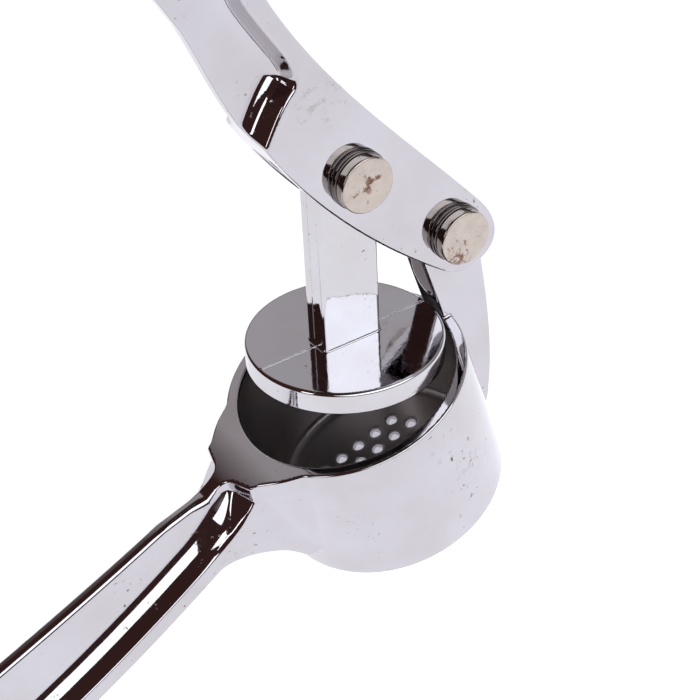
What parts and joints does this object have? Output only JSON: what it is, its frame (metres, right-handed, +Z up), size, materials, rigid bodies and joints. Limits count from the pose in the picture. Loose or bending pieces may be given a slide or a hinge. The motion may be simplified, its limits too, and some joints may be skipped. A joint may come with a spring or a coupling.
{
  "type": "garlic press",
  "caption": "Cast metal garlic press: two handled arms on a hinge pin, a swinging plunger disc on a second pin, and a round cup with a perforated floor.",
  "frame": {"origin": "centre of the flat base of the cup", "axes": "+Z up along the axis of the cup, +X from the cup's axis towards the hinge pin, +Y along both pins, from the pins' heads to their caps"},
  "size_m": [0.162, 0.0384, 0.1903],
  "materials": {
    "chrome_casting": "polished chrome plating on a casting, with light wear and a few brown specks",
    "plunger_casting": "chrome plating on a rougher casting, with a raised parting line",
    "pin_steel": "satin nickel, with light brown rust marks",
    "washer_steel": "satin, darker at the groove under the head"
  },
  "bodies": {
    "lower": {"lower_arm": "chrome_casting"},
    "upper": {"upper_arm": "chrome_casting", "hinge_pin": "pin_steel", "hinge_cap": "pin_steel", "hinge_washer_near": "washer_steel", "hinge_washer_far": "washer_steel", "plunger_pin": "pin_steel", "plunger_cap": "pin_steel", "plunger_washer_near": "washer_steel", "plunger_washer_far": "washer_steel"},
    "plunger": {"plunger": "plunger_casting"}
  },
  "joints": [
    {"name": "press", "type": "hinge", "parent": "lower", "child": "upper", "pos_m": [0.0231, 0, 0.0412], "axis": [0, -1, 0], "range_deg": [0, 68]},
    {"name": "plunger_swing", "type": "hinge", "parent": "upper", "child": "plunger", "pos_m": [0.01166, 0, 0.06069], "axis": [0, 1, 0], "range_deg": [0, 49]}
  ],
  "couplings": [
    {"joint": "plunger_swing", "follows": "press", "ratio": 0.72}
  ]
}
